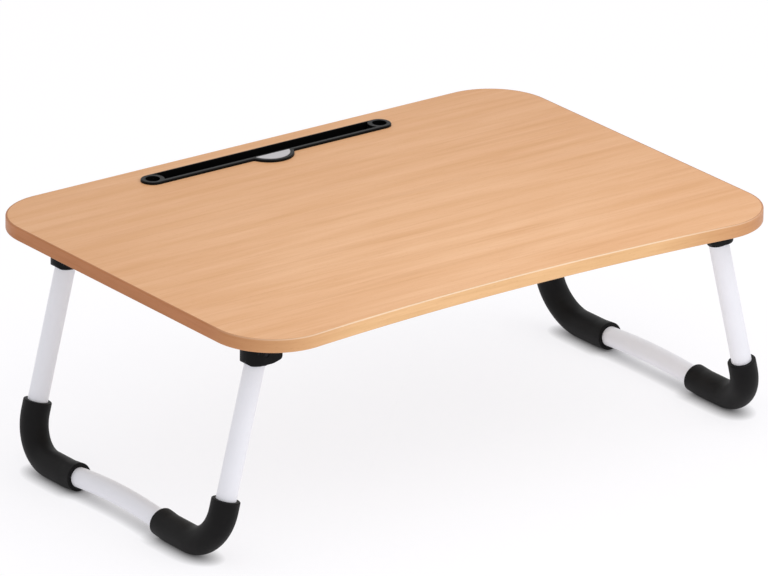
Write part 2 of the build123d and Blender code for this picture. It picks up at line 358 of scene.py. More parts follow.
@dataclass(frozen=True)
class MouldedSurface(Finish):
    """Plastic, rubber or paint: one colour with slight mottling and a fine even relief."""

    colour: str
    shade: str
    roughness: float
    roughness_spread: float = 0.08
    specular: float = 0.5
    ior: float = 1.5
    grit: float = 0.8 * MM
    grit_detail: Pair = (2.0, 0.55)
    relief: float = 0.06 * MM
    relief_strength: float = 0.3
    cloud: float = 30 * MM
    cloud_detail: Pair = (3.0, 0.6)
    cloud_span: Pair = (0.3, 0.7)

    def dress(self, tree: NodeTree) -> dict[str, Any]:
        """Mottle the colour and gloss in clouds, and add the grit's relief.

        Args:
            tree: The material's node tree.

        Returns:
            The shader's inputs.
        """
        place = add_node(tree, "ShaderNodeTexCoord").outputs["Object"]
        noises = []
        for size, detail in ((self.cloud, self.cloud_detail), (self.grit, self.grit_detail)):
            shape = {"Scale": 1 / size, "Detail": detail[0], "Roughness": detail[1]}
            noises.append(add_node(tree, "ShaderNodeTexNoise", {"Vector": place, **shape}))
        clouds, grit = noises
        inks = {"Factor": clouds, UNDER: linear(self.colour), OVER: linear(self.shade)}
        spread = self.roughness_spread / 2
        gloss = {
            "Value": clouds,
            "From Min": self.cloud_span[0],
            "From Max": self.cloud_span[1],
            "To Min": self.roughness - spread,
            "To Max": self.roughness + spread,
        }
        relief = {"Height": grit, "Strength": self.relief_strength, "Distance": self.relief}
        return {
            "Base Color": add_node(tree, "ShaderNodeMix", inks, data_type="RGBA"),
            "Roughness": add_node(tree, "ShaderNodeMapRange", gloss),
            "Normal": add_node(tree, "ShaderNodeBump", relief),
            "IOR": self.ior,
            "Specular IOR Level": self.specular,
        }


@dataclass(frozen=True)
class CoatedSteel(Finish):
    """Zinc-plated or blackened steel: metal with faint drawing lines."""

    colour: str
    roughness: float
    roughness_spread: Pair = (-0.1, 0.12)
    line_width: float = 0.25 * MM
    line_stretch: float = 12.0
    line_detail: float = 2.0

    def dress(self, tree: NodeTree) -> dict[str, Any]:
        """Vary the gloss along fine lines.

        Args:
            tree: The material's node tree.

        Returns:
            The shader's inputs.
        """
        place = add_node(tree, "ShaderNodeTexCoord").outputs["Object"]
        fine = 1 / self.line_width
        scale = (fine, fine / self.line_stretch, fine)
        drawn = add_node(tree, "ShaderNodeMapping", {"Vector": place, "Scale": scale})
        shape = {"Vector": drawn, "Scale": 1.0, "Detail": self.line_detail}
        lines = add_node(tree, "ShaderNodeTexNoise", shape)
        smooth, rough = (self.roughness + change for change in self.roughness_spread)
        gloss = {"Value": lines, "To Min": smooth, "To Max": rough}
        sheen = add_node(tree, "ShaderNodeMapRange", gloss)
        return {"Base Color": linear(self.colour), "Roughness": sheen, "Metallic": 1.0}


# Melamine-coated beech print: satin, grain along the board, with painted shade darkening it away
# from the front middle
BEECH_TOP = BeechFilm("beech_melamine_film", "beech_laminate")

# The same print on the edge strip, its grain running round the board; the film's painted shade is
# off here, and the strip's own painted shade and painted highlight stand in its place
BEECH_EDGE = BeechStrip(
    "beech_edge_strip", "beech_edge", "#F1C392", "#E3B581", "#C28A54",
    specular=0.2,
    fade_share=0.0,
    streaks=Layer(150 * MM, 12 * MM, 4.0, 0.35),
    bands=Layer(105 * MM, 4.8 * MM, 2.0, 0.6, (0.5, 0.72), 0.2),
    fibres=Layer(22 * MM, 1.6 * MM, 3.0, 0.0, (0.45, 0.75), 0.1),
)

# Balancing film under the board: the same print and painted shade, bleached and duller
BEECH_BACK = BeechFilm(
    "beech_balancing_film", "beech_laminate", "#E4DBD0", "#DAD0C3", "#BCAC98", roughness=0.55
)

# Pressed fibreboard: brown, matt, felted
FIBREBOARD = MouldedSurface(
    "pressed_fibreboard", "board_core", "#B08A60", "#97724B",
    roughness=0.85, grit=1.5 * MM, relief=0.2 * MM,
)

# Moulded ABS: black and semi-gloss, so that its rim mirrors the pale room
ABS = MouldedSurface(
    "moulded_abs_black", "black_gloss_plastic", "#0C0C0D", "#090909",
    roughness=0.3, roughness_spread=0.06, specular=0.07,
    grit=1.2 * MM, relief=0.02 * MM, relief_strength=0.15,
)

# Glass-filled nylon with a spark-eroded texture: black and matt
NYLON = MouldedSurface(
    "textured_nylon_black", "black_plastic", "#0F0F10", "#0B0B0C",
    roughness=0.5, specular=0.12, grit=0.9 * MM, relief=0.05 * MM,
)

# Moulded pad in the tab, smooth and satin: its light grey is a painted reflection on a glossy top
REFLECTION_GREY = MouldedSurface(
    "moulded_inlay_grey", "grey_plastic", "#C4C1C4", "#BBB8BB",
    roughness=0.35, grit=1.0 * MM, relief=0.03 * MM, relief_strength=0.2,
)

# Foam rubber with a skin: black, soft and dull
FOAM_RUBBER = MouldedSurface(
    "foam_rubber_black", "black_rubber", "#131213", "#0E0D0E",
    roughness=0.55, specular=0.14, grit=1.4 * MM, relief=0.08 * MM, relief_strength=0.25,
)

# Powder coat on steel tube: white satin with a slight orange peel
POWDER_COAT = MouldedSurface(
    "white_powder_coat_satin", "white_powder_coat", "#F3F3FA", "#EEEEF5",
    roughness=0.34, roughness_spread=0.06, grit=1.6 * MM, relief=0.03 * MM, relief_strength=0.2,
)

# Bright zinc on screws
ZINC = CoatedSteel("zinc_plated_steel", "zinc_steel", "#C3C5C8", roughness=0.3)

# Black-oxide steel pins: dark, oiled, half dull
BLACK_OXIDE = CoatedSteel("black_oxide_steel", "blackened_steel", "#2A2A2C", roughness=0.45)


def arc(centre: Pair, radius: float, start: float, stop: float, steps: int) -> Outline:
    """Points along an arc between two angles in radians, in equal steps, both ends included."""
    angles = [start + (stop - start) * i / steps for i in range(steps + 1)]
    return [(centre[0] + radius * math.cos(a), centre[1] + radius * math.sin(a)) for a in angles]


def quarter_turn(steps: int) -> list[float]:
    """The angles of a quarter turn in equal steps, both ends included, in radians."""
    return [math.pi / 2 * i / steps for i in range(steps + 1)]


def bow(half_span: float, rise: float) -> Pair:
    """Sum of the radii of a shallow bow and its round corners, and the angle where they meet."""
    radius_sum = (half_span**2 + rise**2) / (2 * rise)
    return radius_sum, math.asin(half_span / radius_sum)


def lengths_round(outline: Sequence[Pair]) -> list[float]:
    """The way round a closed outline to each of its points, and back to the first."""
    following = [*outline[1:], outline[0]]
    return list(accumulate(map(math.dist, outline, following), initial=0.0))


class Shell:
    """A mesh in the making: rings of points, skins between them and flat plates."""

    def __init__(self) -> None:
        """Start with no points."""
        self.points: list[Vector] = []
        self.faces: list[tuple[int, ...]] = []
        self.uvs: dict[int, list[Pair]] = {}

    def ring(self, outline: Sequence[Pair], height: float) -> range:
        """Add a closed outline at a height.

        Args:
            outline: The outline's points in plan.
            height: Its Z.

        Returns:
            The numbers of the new points.
        """
        first = len(self.points)
        self.points.extend(Vector((x, y, height)) for x, y in outline)
        return range(first, len(self.points))

    def skin(self, lower: range, upper: range) -> None:
        """Join two rings of the same length with quads.

        Args:
            lower: One ring.
            upper: The other ring.
        """
        count = len(lower)
        for i in range(count):
            j = (i + 1) % count
            self.faces.append((lower[i], lower[j], upper[j], upper[i]))

    def loft(self, rings: Sequence[tuple[Sequence[Pair], float]]) -> None:
        """Skin a run of outlines, each given with its height.

        Args:
            rings: Pairs of outline and Z, in order.
        """
        made = [self.ring(outline, height) for outline, height in rings]
        for lower, upper in zip(made, made[1:]):
            self.skin(lower, upper)

    def plate(self, outer: Sequence[Pair], holes: Sequence[Sequence[Pair]], height: float) -> None:
        """Fill a flat outline, leaving its holes open.

        Args:
            outer: The outer outline.
            holes: Outlines that stay open.
            height: The plate's Z.
        """
        loops = [[Vector((x, y, height)) for x, y in loop] for loop in (outer, *holes)]
        first = len(self.points)
        self.points.extend(point for loop in loops for point in loop)
        for corners in tessellate_polygon(loops):
            self.faces.append(tuple(first + c for c in corners))

    def piece(self, name: str, finish: Finish) -> Object:
        """Weld the shell, turn its faces outwards and make it an object.

        Args:
            name: The piece's name.
            finish: The finish that it takes.

        Returns:
            The new object, at the origin.
        """
        mesh = bpy.data.meshes.new(name)
        mesh.from_pydata(self.points, [], self.faces)
        if self.uvs:
            layer = mesh.uv_layers.new(name="strip")
            for polygon in mesh.polygons:
                for loop, uv in zip(polygon.loop_indices, self.uvs[polygon.index]):
                    layer.data[loop].uv = uv
        return finished_piece(name, mesh, finish, SHARP_MADE)


def finished_piece(
    name: str, mesh: Mesh, finish: Finish, sharp_angle: float, edge_round: float = 0.0
) -> Object:
    """Weld a mesh, smooth it, round its edges and give it its finish.

    Args:
        name: The piece's name.
        mesh: The mesh, changed in place.
        finish: The finish that it takes.
        sharp_angle: Edges that turn by more than this many degrees stay sharp.
        edge_round: The width of a bevel on those edges, in metres, or 0 for none.

    Returns:
        The new object, with its modifiers applied.
    """
    work = bmesh.new()
    work.from_mesh(mesh)
    bmesh.ops.remove_doubles(work, verts=work.verts, dist=WELD)
    bmesh.ops.recalc_face_normals(work, faces=work.faces)
    work.to_mesh(mesh)
    work.free()
    mesh.materials.clear()
    mesh.materials.append(finish.material())
    mesh.shade_smooth()
    mesh.set_sharp_from_angle(angle=math.radians(sharp_angle))
    piece = bpy.data.objects.new(name, mesh)
    bpy.context.scene.collection.objects.link(piece)
    if edge_round > 0:
        bevel = piece.modifiers.new("edge_round", "BEVEL")
        bevel.width = edge_round
        bevel.segments = 2
        bevel.limit_method = "ANGLE"
        bevel.angle_limit = math.radians(sharp_angle)
        bevel.harden_normals = True
    weights = piece.modifiers.new("flat_faces", "WEIGHTED_NORMAL")
    weights.keep_sharp = True
    return settled(piece)


def settled(piece: Object) -> Object:
    """Apply a piece's modifiers, Geometry Nodes among them.

    Args:
        piece: The object whose modifiers are applied.

    Returns:
        The same object with a plain mesh.
    """
    bpy.context.view_layer.update()
    shown = piece.evaluated_get(bpy.context.evaluated_depsgraph_get())
    mesh = bpy.data.meshes.new_from_object(shown)
    piece.modifiers.clear()
    piece.data = mesh
    mesh.name = piece.name
    return piece


def stand_for(piece: Object, finish: Finish, body: str, *nodes: str) -> None:
    """Let a piece ride on a body in place of CAD nodes.

    Args:
        piece: The finished piece.
        finish: Its finish, which names the record's slot. Not used.
        body: The body that it moves with.
        *nodes: The CAD nodes that it stands for.
    """
    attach(piece, body)
    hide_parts(*nodes)
    faces = len(piece.data.polygons)
    log.info("%s: %d faces on %s, for %s", piece.name, faces, body, ", ".join(nodes))


def repaint(finish: Finish, *nodes: str) -> None:
    """Give CAD nodes that stay a finish of this scene.

    Args:
        finish: The finish.
        *nodes: The nodes' names.
    """
    for node in nodes:
        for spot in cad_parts[node].material_slots:
            spot.material = finish.material()
        log.info("%s: CAD mesh in %s", node, finish.name)


def refined(node: str, name: str, finish: Finish, body: str, edge_round: float = 0.0) -> None:
    """Stand a welded and smoothed copy of a CAD node, its edges rounded, in the node's place."""
    piece = finished_piece(name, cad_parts[node].data.copy(), finish, SHARP_COPIED, edge_round)
    stand_for(piece, finish, body, node)


def start_tree(
    name: str, inputs: dict[str, str]
) -> tuple[GeometryNodeTree, Mapping[str, NodeSocket]]:
    """Start a Geometry Nodes tree that makes one piece.

    Args:
        name: The tree's name.
        inputs: The kind of socket of each of its inputs.

    Returns:
        The tree and the sockets that give its inputs.
    """
    tree = bpy.data.node_groups.new(name, "GeometryNodeTree")
    for label, kind in inputs.items():
        tree.interface.new_socket(label, in_out="INPUT", socket_type=f"NodeSocket{kind}")
    tree.interface.new_socket("Piece", in_out="OUTPUT", socket_type="NodeSocketGeometry")
    return tree, add_node(tree, "NodeGroupInput").outputs


def end_tree(tree: GeometryNodeTree, shape: Source, material: NodeSocket) -> None:
    """Make a tree's shape real, give it its material and hand it out.

    Args:
        tree: The tree.
        shape: The shape.
        material: The socket that gives the material.
    """
    real = add_node(tree, "GeometryNodeRealizeInstances", {"Geometry": shape})
    dressed = add_node(tree, "GeometryNodeSetMaterial", {"Geometry": real, "Material": material})
    add_node(tree, "NodeGroupOutput", {"Piece": dressed})


def path_tree() -> GeometryNodeTree:
    """Geometry Nodes that sweep a round section along a path of points.

    Returns:
        A tree with inputs for the section's sides and material. Each point of the path
        carries its own radius in the attribute path_radius.
    """
    sockets = {"Path": "Geometry", "Sides": "Int", "Material": "Material"}
    tree, given = start_tree("round_section_along_path", sockets)
    curve = add_node(tree, "GeometryNodeMeshToCurve", {"Mesh": given["Path"]})
    name = {"Name": "path_radius"}
    radius = add_node(tree, "GeometryNodeInputNamedAttribute", name, data_type="FLOAT")
    circle = {"Resolution": given["Sides"], "Radius": 1.0}
    section = add_node(tree, "GeometryNodeCurvePrimitiveCircle", circle)
    sweep = {"Curve": curve, "Profile Curve": section, "Scale": radius.outputs["Attribute"]}
    swept = add_node(tree, "GeometryNodeCurveToMesh", {**sweep, "Fill Caps": True})
    end_tree(tree, swept, given["Material"])
    return tree


def scatter_tree() -> GeometryNodeTree:
    """Geometry Nodes that set one fastener on every point, each turned by a chance angle.

    Returns:
        A tree with inputs for the fastener, the seed and the material.
    """
    sockets = {"Points": "Geometry", "Fastener": "Object", "Seed": "Int", "Material": "Material"}
    tree, given = start_tree("fasteners_on_points", sockets)
    fastener = add_node(tree, "GeometryNodeObjectInfo", {"Object": given["Fastener"]})
    turns = {"Max": (0.0, 0.0, math.tau), "Seed": given["Seed"]}
    turn = add_node(tree, "FunctionNodeRandomValue", turns, data_type="FLOAT_VECTOR")
    set_on = {"Points": given["Points"], "Instance": fastener.outputs["Geometry"], "Rotation": turn}
    placed = add_node(tree, "GeometryNodeInstanceOnPoints", set_on)
    end_tree(tree, placed, given["Material"])
    return tree


def run_tree(
    name: str, mesh: Mesh, tree: GeometryNodeTree, values: dict[str, Any], sharp_angle: float
) -> Object:
    """Run a Geometry Nodes tree on a mesh and keep the result as a plain piece.

    Args:
        name: The piece's name.
        mesh: The mesh that goes in.
        tree: The tree.
        values: A value for each of the tree's named inputs.
        sharp_angle: Edges that turn by more than this many degrees stay sharp.

    Returns:
        The new object.
    """
    piece = bpy.data.objects.new(name, mesh)
    bpy.context.scene.collection.objects.link(piece)
    modifier = piece.modifiers.new(tree.name, "NODES")
    modifier.node_group = tree
    for socket in tree.interface.items_tree:
        if socket.in_out == "INPUT" and socket.name in values:
            modifier[socket.identifier] = values[socket.name]
    settled(piece)
    piece.data.shade_smooth()
    piece.data.set_sharp_from_angle(angle=math.radians(sharp_angle))
    return piece


@dataclass
class Board:
    """The board: film, edge strip and core, with round corners and a bowed front."""

    length: float = 700 * MM
    depth: float = 500 * MM
    height: float = 260 * MM
    thickness: float = 15 * MM
    film: float = 0.8 * MM
    strip: float = 2.2 * MM
    edge_radius: float = 1.6 * MM
    corner: float = 70 * MM
    dip: float = 14 * MM
    front_steps: int = 56
    bow_steps: int = 120
    rear_steps: int = 48
    edge_steps: int = 6
    body: str = "tabletop"

    def outline(self, inset: float) -> Outline:
        """The board's outline, inset evenly, from the left side round the front.

        Args:
            inset: How far inside the board's edge it runs.

        Returns:
            Its points, as many at every inset.
        """
        half = self.length / 2 - self.corner
        front = self.corner - self.depth / 2
        rear = self.depth / 2 - self.corner
        radius_sum, lean = bow(half, self.dip)
        corner = self.corner - inset
        bow_radius = radius_sum - self.corner
        bow_middle = self.dip - self.depth / 2 - bow_radius
        up = math.pi / 2
        bowed = arc((0, bow_middle), bow_radius + inset, up + lean, up - lean, self.bow_steps)
        points = arc((-half, front), corner, math.pi, 1.5 * math.pi + lean, self.front_steps)
        points += bowed[1:-1]
        points += arc((half, front), corner, 1.5 * math.pi - lean, math.tau, self.front_steps)
        points += arc((half, rear), corner, 0, up, self.rear_steps)
        points += arc((-half, rear), corner, up, math.pi, self.rear_steps)
        return points

    def strip_section(self) -> Outline:
        """The edge strip's section, from its inner foot round the outside.

        Returns:
            Pairs of inset and Z.
        """
        low = self.height - self.thickness
        r = self.edge_radius
        lower = arc((r, low + r), r, 1.5 * math.pi, math.pi, self.edge_steps)
        upper = arc((r, self.height - r), r, math.pi, 0.5 * math.pi, self.edge_steps)
        return [(self.strip, low), *lower, *upper, (self.strip, self.height)]

    def build_film(self, slot: "SlotInsert") -> None:
        """Make the top film, open round the slot insert.

        Args:
            slot: The insert that the film leaves room for.
        """
        outer = self.outline(self.strip)
        opening = slot.outline(slot.clearance)
        low = self.height - self.film
        shell = Shell()
        for loop in (outer, opening):
            shell.loft([(loop, low), (loop, self.height)])
        shell.plate(outer, [opening], low)
        shell.plate(outer, [opening], self.height)
        piece = shell.piece("top_film", BEECH_TOP)
        stand_for(piece, BEECH_TOP, self.body, "top_laminate")

    def build_strip(self) -> None:
        """Make the edge strip, with a UV map in metres along it that joins up at the back."""
        section = self.strip_section()
        rim = self.outline(0.0)
        run, climb = lengths_round(rim), lengths_round(section)
        joint = len(rim) - self.rear_steps - 1
        shell = Shell()
        rings = [shell.ring(self.outline(inset), height) for inset, height in section]
        for k, lower in enumerate(rings):
            first = len(shell.faces)
            low, high = climb[k : k + 2]
            shell.skin(lower, rings[(k + 1) % len(rings)])
            for i in range(len(rim)):
                lap = run[-1] if i >= joint else 0.0
                here, there = run[i] - lap, run[i + 1] - lap
                shell.uvs[first + i] = [(here, low), (there, low), (there, high), (here, high)]
        piece = shell.piece("edge_strip", BEECH_EDGE)
        stand_for(piece, BEECH_EDGE, self.body, "edge_band")

    def build(self, slot: "SlotInsert") -> None:
        """Make the board's pieces.

        Args:
            slot: The insert in its top.
        """
        self.build_film(slot)
        self.build_strip()
        repaint(BEECH_BACK, "underside_laminate")
        repaint(FIBREBOARD, "tabletop_core")


@dataclass
class SlotInsert:
    """The moulded slot along the back: a rim, a trough, two rings and a front tab."""

    board: Board
    length: float = 328 * MM
    width: float = 26 * MM
    setback: float = 37 * MM
    front_rim: float = 5 * MM
    rear_rim: float = 2.4 * MM
    rim_height: float = 2.6 * MM
    rim_round: float = 1.2 * MM
    rim_step: float = 1 * MM
    trough_depth: float = 9 * MM
    draft: float = math.radians(3)
    floor: float = 1.4 * MM
    ring_radius: float = 8 * MM
    ring_wall: float = 1.6 * MM
    tab_width: float = 52 * MM
    tab_reach: float = 18 * MM
    tab_corner: float = 3 * MM
    tab_border: float = 4.4 * MM
    dish_depth: float = 1.0 * MM
    pad_thickness: float = 1.4 * MM
    pad_round: float = 0.4 * MM
    pad_clearance: float = 0.1 * MM
    lip: float = 0.4 * MM
    clearance: float = 0.15 * MM
    end_steps: int = 40
    tab_steps: int = 64
    corner_steps: int = 10
    mouth_steps: int = 24
    ring_steps: int = 56
    dish_steps: int = 60
    rim_steps: int = 6
    pad_steps: int = 4

    def __post_init__(self) -> None:
        """Work out the places that the outlines share."""
        self.middle = self.board.depth / 2 - self.setback
        self.front = self.middle - self.width / 2
        self.ring_x = (self.length - self.width) / 2
        half_tab = self.tab_width / 2
        self.tab_radius = (half_tab**2 + self.tab_reach**2) / (2 * self.tab_reach)
        self.tab_middle = self.front - self.tab_reach + self.tab_radius
        self.top = self.board.height + self.rim_height

    def stadium(self, margin: float) -> Outline:
        """The slot's own outline, without the tab.

        Args:
            margin: How far outside the slot's edge it runs.

        Returns:
            Its points.
        """
        radius = self.width / 2 + margin
        right = arc((self.ring_x, self.middle), radius, -math.pi / 2, math.pi / 2, self.end_steps)
        left = arc((-self.ring_x, self.middle), radius, math.pi / 2, 1.5 * math.pi, self.end_steps)
        return right + left

    def outline(self, margin: float) -> Outline:
        """The rim's outline: the slot with the tab in front of its middle.

        Args:
            margin: How far outside the rim's edge it runs.

        Returns:
            Its points, as many at every margin.
        """
        front = self.front - margin
        radius = self.tab_radius + margin
        corner = self.tab_corner - margin
        drop = front - corner - self.tab_middle
        corner_x = math.sqrt((radius + corner) ** 2 - drop**2)
        turn = math.atan2(-drop, corner_x)
        tab = arc((0, self.tab_middle), radius, math.pi + turn, math.tau - turn, self.tab_steps)
        up = math.pi / 2
        into = arc((-corner_x, front - corner), corner, up, turn, self.corner_steps)
        out = arc((corner_x, front - corner), corner, math.pi - turn, up, self.corner_steps)
        ends = self.stadium(margin)
        return into[:-1] + tab + out[1:] + ends

    def trough(self, margin: float) -> Outline:
        """The trough's mouth between the two rings.

        Args:
            margin: How far outside the mouth it runs.

        Returns:
            Its points, as many at every margin.
        """
        low = self.front + self.front_rim - margin
        high = self.front + self.width - self.rear_rim + margin
        radius = self.width / 2 - margin
        start = math.asin((low - self.middle) / radius)
        stop = math.asin((high - self.middle) / radius)
        steps = self.mouth_steps
        right = arc((self.ring_x, self.middle), radius, math.pi - start, math.pi - stop, steps)
        left = arc((-self.ring_x, self.middle), radius, stop, start, steps)
        return right + left

    def rings(self, radius: float) -> list[Outline]:
        """A circle of a radius at each end of the slot, the left one first."""
        middles = ((-self.ring_x, self.middle), (self.ring_x, self.middle))
        return [arc(middle, radius, 0, math.tau, self.ring_steps)[:-1] for middle in middles]

    def dish(self, margin: float) -> Outline:
        """The shallow dish in the tab.

        Args:
            margin: How far outside the dish's edge it runs.

        Returns:
            Its points, as many at every margin.
        """
        radius = self.tab_radius - self.tab_border + margin
        rear = self.front + self.front_rim - self.rear_rim + margin
        turn = math.asin((self.tab_middle - rear) / radius)
        return arc((0, self.tab_middle), radius, math.pi + turn, math.tau - turn, self.dish_steps)

    def build_pad(self) -> None:
        """Make the pad in the tab's dish, with a rounded upper edge, its light grey a painted
        reflection.
        """
        shell = Shell()
        low = self.top - self.dish_depth
        high = low + self.pad_thickness
        r = self.pad_round
        rings = [(self.dish(-self.pad_clearance), low)]
        for angle in quarter_turn(self.pad_steps):
            inset = self.pad_clearance + r * (1 - math.cos(angle))
            rings.append((self.dish(-inset), high - r * (1 - math.sin(angle))))
        shell.loft(rings)
        shell.plate(rings[0][0], [], low)
        shell.plate(rings[-1][0], [], high)
        stand_for(shell.piece("tab_inlay", REFLECTION_GREY), REFLECTION_GREY, self.board.body, "tab_pad")

    def build(self) -> None:
        """Make the insert as one closed shell with softened edges, and its pad."""
        shell = Shell()
        core_top = self.board.height - self.board.film
        underside = self.board.height - self.board.thickness
        trough_floor = self.board.height - self.trough_depth
        body_floor = trough_floor - self.floor
        r = self.rim_round
        quarter = quarter_turn(self.rim_steps)
        outer = [(self.outline(0.0), core_top)]
        for angle in quarter:
            margin = r * math.cos(angle) - r
            outer.append((self.outline(margin), self.top - r + r * math.sin(angle)))
        shell.loft(outer)
        ring_mouths = self.rings(self.ring_radius + self.lip)
        mouths = [self.trough(self.lip), *ring_mouths, self.dish(self.lip / 2)]
        shell.plate(outer[-1][0], mouths, self.top)
        lip = [(self.lip * (1 - math.sin(a)), self.lip * (1 - math.cos(a))) for a in quarter]
        trough = [(self.trough(margin), self.top - drop) for margin, drop in lip]
        sink = (self.top - trough_floor - self.lip) * math.tan(self.draft)
        trough.append((self.trough(-sink), trough_floor))
        shell.loft(trough)
        shell.plate(trough[-1][0], [], trough_floor)
        for number in range(2):
            bore = [
                (self.rings(self.ring_radius + margin)[number], self.top - drop)
                for margin, drop in lip
            ]
            bore.append((self.rings(self.ring_radius)[number], underside))
            shell.loft(bore)
            boss = self.rings(self.ring_radius + self.ring_wall)[number]
            shell.loft([(boss, body_floor), (boss, underside)])
            shell.plate(boss, [bore[-1][0]], underside)
        dish = [(self.dish(margin / 2), self.top - drop / 2) for margin, drop in lip]
        dish.append((self.dish(0.0), self.top - self.dish_depth))
        shell.loft(dish)
        shell.plate(dish[-1][0], [], self.top - self.dish_depth)
        body = self.stadium(-self.rim_step)
        shell.plate(outer[0][0], [body], core_top)
        shell.loft([(body, core_top), (body, body_floor)])
        shell.plate(body, self.rings(self.ring_radius + self.ring_wall), body_floor)
        piece = shell.piece("slot_trough", ABS)
        stand_for(piece, ABS, self.board.body, "slot_insert")
        self.build_pad()


@dataclass
class Leg:
    """One U-shaped tube leg with its two sleeves and two knuckles."""

    side: Side
    sweep: GeometryNodeTree
    pivot_x: float = 302 * MM
    pivot_z: float = 228 * MM
    front_y: float = -185 * MM
    rear_y: float = 155 * MM
    splay: float = math.radians(14)
    tube_radius: float = 11 * MM
    tube_start: float = 5.2 * MM
    bend_radius: float = 45 * MM
    foot_length: float = 30 * MM
    rise_radius: float = 60 * MM
    bar_rise: float = 5.5 * MM
    sleeve_radius: float = 15.5 * MM
    sleeve_gap: float = 0.1 * MM
    upright_cover: float = 12 * MM
    bar_cover: float = 14 * MM
    lip_radius: float = 1.2 * MM
    lip_offset: float = 0.02 * MM
    lip_steps: int = 7
    # The sleeve's even stretch keeps this many lip radii away from its ends
    lip_margin: float = 1.5
    step: float = 1.5 * MM
    tube_sides: int = 56
    sleeve_sides: int = 64
    knuckle_round: float = 0.4 * MM

    def __post_init__(self) -> None:
        """Work out the lengths of the path's runs, from the tube's front end."""
        self.half = (self.rear_y - self.front_y) / 2
        self.reach = (self.pivot_z - self.sleeve_radius) / math.cos(self.splay)
        self.bend_drop = self.reach - self.bend_radius
        self.foot_end = self.bend_radius + self.foot_length - self.half
        radius_sum, self.lean = bow(-self.foot_end, self.bar_rise)
        self.bar_radius = radius_sum - self.rise_radius
        self.upright = self.bend_drop - self.tube_start
        self.bend_stop = self.upright + self.bend_radius * math.pi / 2
        self.foot_stop = self.bend_stop + self.foot_length
        self.rise_stop = self.foot_stop + self.rise_radius * self.lean
        self.total = 2 * (self.rise_stop + self.bar_radius * self.lean)
        self.body = f"{self.side.word}_leg"

    def local(self, run: float) -> Pair:
        """A point of the U in its own plane.

        Args:
            run: The distance along the tube from its front end, up to the middle of the bar.

        Returns:
            The distance towards the back from the U's middle, and down from the hinge axis.
        """
        if run <= self.upright:
            return -self.half, self.tube_start + run
        if run <= self.bend_stop:
            angle = (run - self.upright) / self.bend_radius
            along = self.bend_radius * (1 - math.cos(angle)) - self.half
            return along, self.bend_drop + self.bend_radius * math.sin(angle)
        if run <= self.foot_stop:
            return self.foot_end - self.foot_stop + run, self.reach
        if run <= self.rise_stop:
            angle = (run - self.foot_stop) / self.rise_radius
            along = self.foot_end + self.rise_radius * math.sin(angle)
            return along, self.reach - self.rise_radius * (1 - math.cos(angle))
        angle = self.lean - (run - self.rise_stop) / self.bar_radius
        crown = self.reach - self.bar_rise
        return -self.bar_radius * math.sin(angle), crown + self.bar_radius * (1 - math.cos(angle))

    def point(self, run: float) -> Vector:
        """A point of the tube's centre line.

        Args:
            run: The distance along the tube from its front end.

        Returns:
            The point in the table's frame.
        """
        along, drop = self.local(min(run, self.total - run))
        if run > self.total / 2:
            along = -along
        x = self.side.value * (self.pivot_x + drop * math.sin(self.splay))
        y = (self.front_y + self.rear_y) / 2 + along
        return Vector((x, y, self.pivot_z - drop * math.cos(self.splay)))

    def swept(self, name: str, stations: Sequence[Pair], sides: int, finish: Finish) -> Object:
        """Sweep a round section along the leg.

        Args:
            name: The piece's name.
            stations: Pairs of a distance along the tube and the radius there.
            sides: How many sides the section has.
            finish: The piece's finish.

        Returns:
            The new piece.
        """
        mesh = bpy.data.meshes.new(name)
        edges = [(i, i + 1) for i in range(len(stations) - 1)]
        mesh.from_pydata([self.point(run) for run, _ in stations], edges, [])
        radii = mesh.attributes.new("path_radius", "FLOAT", "POINT")
        radii.data.foreach_set("value", [radius for _, radius in stations])
        values = {"Sides": sides, "Material": finish.material()}
        return run_tree(name, mesh, self.sweep, values, SHARP_SWEPT)

    def build_tube(self) -> None:
        """Make the bent tube."""
        bent = self.total - 2 * self.upright
        count = round(bent / self.step)
        runs = [self.upright + bent * i / count for i in range(count + 1)]
        runs = [0.0, self.upright / 2, *runs, self.total - self.upright / 2, self.total]
        stations = [(run, self.tube_radius) for run in runs]
        piece = self.swept(f"{self.side.word}_leg_tube", stations, self.tube_sides, POWDER_COAT)
        stand_for(piece, POWDER_COAT, self.body, f"leg_tube_{self.side.word}")

    def build_sleeve(self, end: End) -> None:
        """Make one sleeve, with rolled lips at both ends.

        Args:
            end: The end of the leg that it covers.
        """
        start = self.upright - self.upright_cover
        stop = self.rise_stop + self.bar_cover
        inner = self.tube_radius + self.sleeve_gap
        r = self.lip_radius
        lip = [
            (r * (1 - math.cos(a)) + self.lip_offset, self.sleeve_radius - r * (1 - math.sin(a)))
            for a in quarter_turn(self.lip_steps)
        ]
        stations = [(start, inner)] + [(start + s, radius) for s, radius in lip]
        first, last = start + self.lip_margin * r, stop - self.lip_margin * r
        even = last - first
        count = round(even / self.step)
        stations += [(first + even * i / count, self.sleeve_radius) for i in range(count + 1)]
        stations += [(stop - s, radius) for s, radius in reversed(lip)] + [(stop, inner)]
        if end is End.REAR:
            stations = [(self.total - run, radius) for run, radius in stations]
        name = f"{self.side.word}_{end.word}_sleeve"
        piece = self.swept(name, stations, self.sleeve_sides, FOAM_RUBBER)
        stand_for(piece, FOAM_RUBBER, self.body, f"foot_sleeve_{end.word}_{self.side.word}")

    def build(self) -> None:
        """Make the leg's pieces."""
        self.build_tube()
        for end in End:
            self.build_sleeve(end)
            place = f"{end.word}_{self.side.word}"
            refined(f"knuckle_{place}", f"{place}_knuckle", NYLON, self.body, self.knuckle_round)
        repaint(BLACK_OXIDE, f"cross_pins_{self.side.word}")


